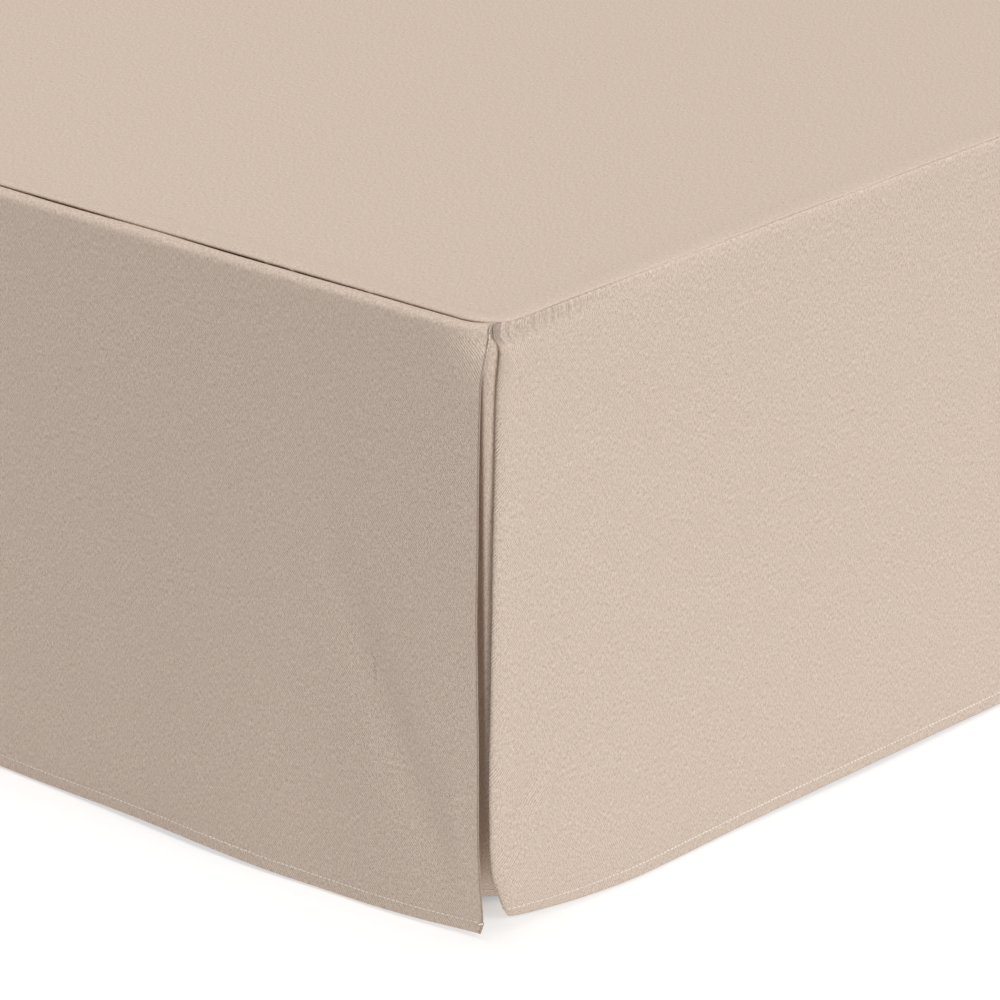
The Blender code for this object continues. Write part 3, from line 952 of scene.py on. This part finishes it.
panel_half_x, panel_half_y = half_x - SEAM_INSET_SIDE, half_y - SEAM_INSET_END
panel_lines = []
core_x, core_y = panel_half_x - SEAM_RADIUS, panel_half_y - SEAM_RADIUS
for from_right in edge_to_edge(2 * panel_half_x, PANEL_SEEN):
    line = []
    for from_foot in edge_to_edge(2 * panel_half_y, PANEL_PLAIN):
        x, y = panel_half_x - from_right, from_foot - panel_half_y
        a, b = abs(x) - core_x, abs(y) - core_y
        way = min(panel_half_x - abs(x), panel_half_y - abs(y))
        outward = Vector((math.copysign(1, x), 0)) if a >= b else Vector((0, math.copysign(1, y)))
        if a > 0 and b > 0:
            radius = max(a, b)
            angle = math.pi / 4 * (b / a if a >= b else 2 - a / b)
            outward = Vector((math.copysign(math.cos(angle), x), math.copysign(math.sin(angle), y)))
            x = math.copysign(core_x, x) + radius * outward.x
            y = math.copysign(core_y, y) + radius * outward.y
            way = SEAM_RADIUS - radius
        at_side, at_end = Vector(edge_at(EDGE_AT_SIDES, way)), Vector(edge_at(EDGE_AT_ENDS, way))
        inset, rise = at_side.lerp(at_end, outward.y ** 2)
        x += outward.x * (way - inset)
        y += outward.y * (way - inset)
        z = BED_HEIGHT - CLOTH / 2 + rise + allowance_at(x, way) * outward.y ** 2 - tuck_at(x, y)
        inner = smooth_step(inset / WAVES_FROM)
        for scale, swing in TOP_WAVES:
            z += inner * swing * MM * noise.noise(Vector((x * scale, y * scale * 0.8, 5.5)))
        line.append(Vector((x, y, z)))
    panel_lines.append(line)
smooth_cloth = cloth_paint("cover twill, smoothed flat", ribs=0.1, grain=0.6)
panel = cloth_object("top_panel_cloth", panel_lines, lambda p: p, smooth_cloth, True)
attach(panel, "root")
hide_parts("top_panel")


# Frame: planed pine deck and square legs under the cover, seen only past the hem.
# Straight grain along each piece's length, a satin lacquer.
PINE_DARK = (0.46, 0.29, 0.15, 1)
PINE_LIGHT = (0.66, 0.48, 0.29, 1)
PINE_ROUGHNESS = 0.42
PINE_RELIEF = 0.1 * MM
# Noise cells a metre of the growth rings and of the fibres, few along the piece and many across it.
DECK_RINGS = (22, 1.6, 22)
DECK_FIBRES = (420, 18, 420)
LEG_RINGS = (30, 30, 2.5)
LEG_FIBRES = (500, 500, 25)


def pine_paint(name, rings, fibres):
    paint = Paint(name, PINE_LIGHT, PINE_ROUGHNESS)
    place = paint.node("ShaderNodeTexCoord", {}, {}, output="Object")
    grain = paint.stretched_noise(place, rings, detail=4.0)
    fibre = paint.stretched_noise(place, fibres, detail=2.0)
    tone = grain.ramp(0.30, 0.70) * 0.8 + fibre * 0.2
    paint.set("Base Color", paint.mix(tone, PINE_DARK, PINE_LIGHT))
    paint.set("Roughness", PINE_ROUGHNESS + fibre * 0.2)
    paint.bump(grain + fibre * 0.4, PINE_RELIEF, 0.5)
    return paint.material


deck_pine = pine_paint("planed pine deck", DECK_RINGS, DECK_FIBRES)
leg_pine = pine_paint("planed pine legs", LEG_RINGS, LEG_FIBRES)
for name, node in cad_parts.items():
    if name == "deck":
        node.material_slots[0].material = deck_pine
    elif name.startswith("leg_"):
        node.material_slots[0].material = leg_pine
